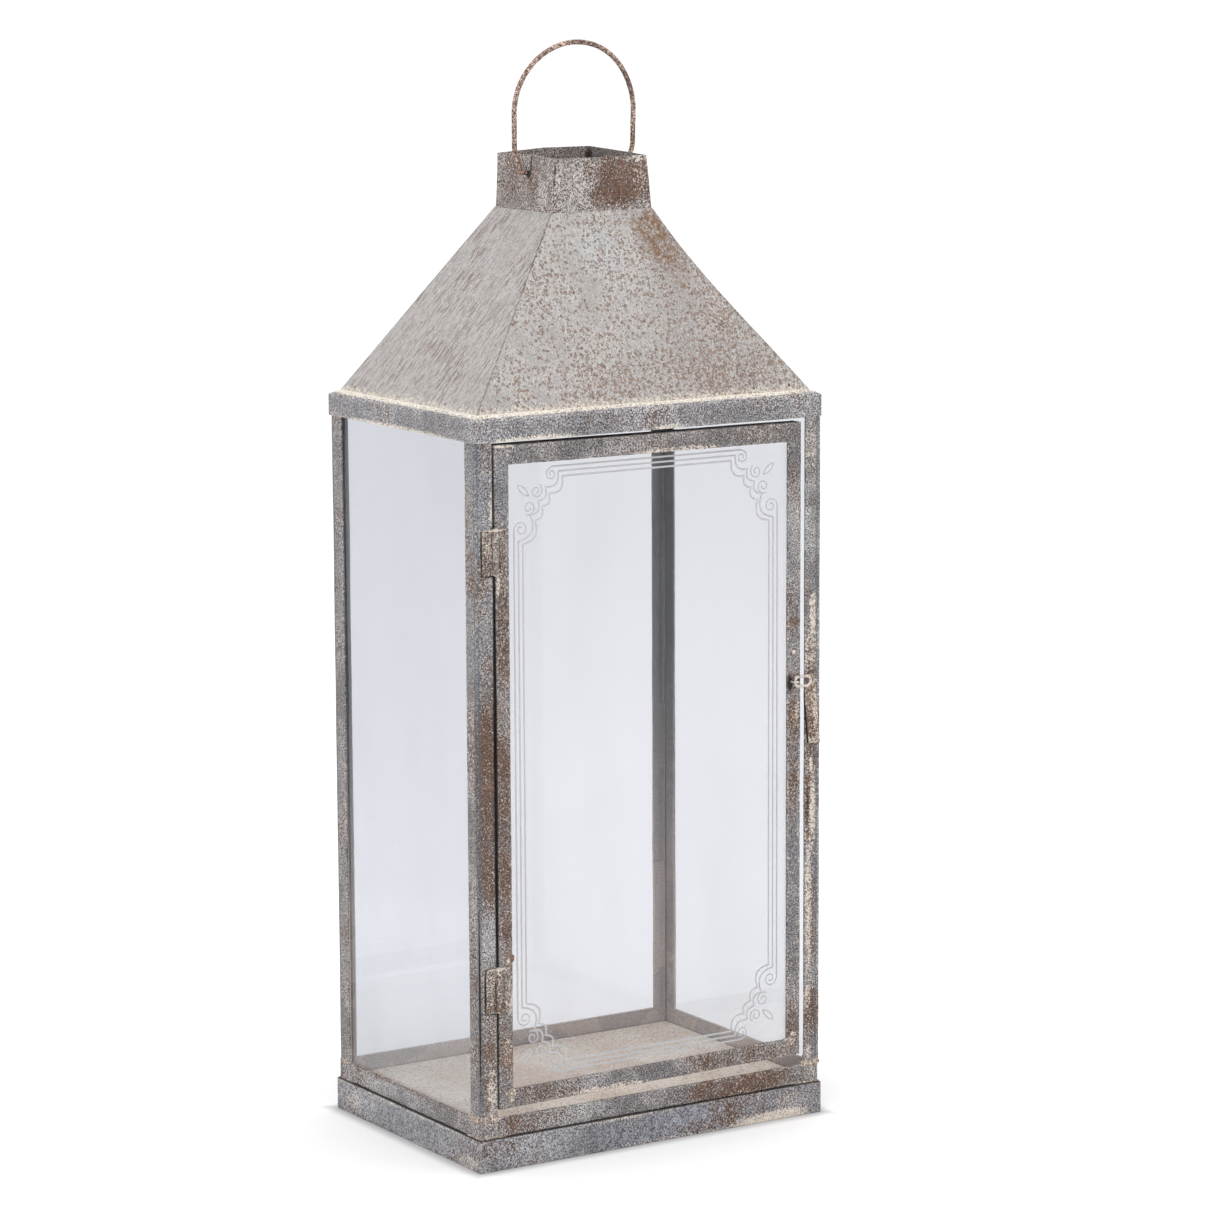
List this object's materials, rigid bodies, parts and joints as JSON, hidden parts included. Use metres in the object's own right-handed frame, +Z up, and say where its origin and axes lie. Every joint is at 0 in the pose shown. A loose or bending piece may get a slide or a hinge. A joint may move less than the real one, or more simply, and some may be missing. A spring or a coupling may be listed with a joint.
{
  "type": "candle lantern",
  "caption": "Rectangular glazed candle lantern of weathered zinc-coated steel with a hinged front door, pyramid roof, open square chimney and wire bail.",
  "frame": {"origin": "centre of the plinth's underside", "axes": "+Z up, the door faces -Y, the door hinges are on the -X side, +X runs to the latch side"},
  "size_m": [0.25, 0.1799, 0.6726],
  "materials": {
    "plinth_zinc": "weathered galvanised sheet with rust speckle and cream dust",
    "frame_zinc": "weathered galvanised angle with rust speckle",
    "band_zinc": "weathered galvanised sheet, dusty top edge",
    "roof_zinc": "pale weathered galvanised sheet with brown streaks and rust spots",
    "collar_zinc": "weathered galvanised sheet, heavily rust speckled",
    "floor_sheet": "dusty tan sheet",
    "door_zinc": "weathered galvanised angle with heavy rust speckle",
    "hinge_steel": "rusted plain steel",
    "latch_steel": "rusted plain steel",
    "bail_wire": "rusted round wire",
    "tab_steel": "dull sheet steel",
    "clear_glass": "clear, faintly smudged",
    "etched_glass": "clear with a frosted line border"
  },
  "bodies": {
    "root": {"chimney_collar": "collar_zinc", "corner_post_back_left": "frame_zinc", "corner_post_back_right": "frame_zinc", "corner_post_front_left": "frame_zinc", "corner_post_front_right": "frame_zinc", "floor_plate": "floor_sheet", "latch_tongue": "latch_steel", "lower_hinge_pin": "hinge_steel", "lower_hinge_post_leaf": "hinge_steel", "lower_rail_back": "frame_zinc", "lower_rail_front": "frame_zinc", "lower_rail_left": "frame_zinc", "lower_rail_right": "frame_zinc", "pane_back": "clear_glass", "pane_back_tabs": "tab_steel", "pane_left": "clear_glass", "pane_left_tabs": "tab_steel", "pane_right": "clear_glass", "pane_right_tabs": "tab_steel", "plinth_back": "plinth_zinc", "plinth_front": "plinth_zinc", "plinth_left": "plinth_zinc", "plinth_right": "plinth_zinc", "post_hinge_rivets": "hinge_steel", "roof_band_back": "band_zinc", "roof_band_front": "band_zinc", "roof_band_left": "band_zinc", "roof_band_right": "band_zinc", "roof_panel_back": "roof_zinc", "roof_panel_front": "roof_zinc", "roof_panel_left": "roof_zinc", "roof_panel_right": "roof_zinc", "upper_hinge_pin": "hinge_steel", "upper_hinge_post_leaf": "hinge_steel", "upper_rail_back": "band_zinc", "upper_rail_front": "band_zinc", "upper_rail_left": "band_zinc", "upper_rail_right": "band_zinc"},
    "door": {"door_glass": "etched_glass", "door_glass_tabs": "tab_steel", "door_hinge_rivets": "hinge_steel", "door_rail_bottom": "door_zinc", "door_rail_top": "door_zinc", "door_stile_left": "door_zinc", "door_stile_right": "door_zinc", "upper_hinge_door_leaf": "hinge_steel", "lower_hinge_door_leaf": "hinge_steel", "latch_staple": "latch_steel"},
    "latch_loop": {"latch_loop": "latch_steel"},
    "bail": {"bail_handle": "bail_wire"}
  },
  "joints": [
    {"name": "door_hinge", "type": "hinge", "parent": "root", "child": "door", "pos_m": [-0.11085, -0.0885, 0.2], "axis": [0, 0, -1], "range_deg": [0, 170]},
    {"name": "latch_loop_swing", "type": "hinge", "parent": "door", "child": "latch_loop", "pos_m": [0.1046, -0.08895, 0.2779], "axis": [0, 0, -1], "range_deg": [0, 170]},
    {"name": "bail_swing", "type": "hinge", "parent": "root", "child": "bail", "pos_m": [0, 0, 0.5932], "axis": [1, 0, 0], "range_deg": [-120, 120]}
  ]
}
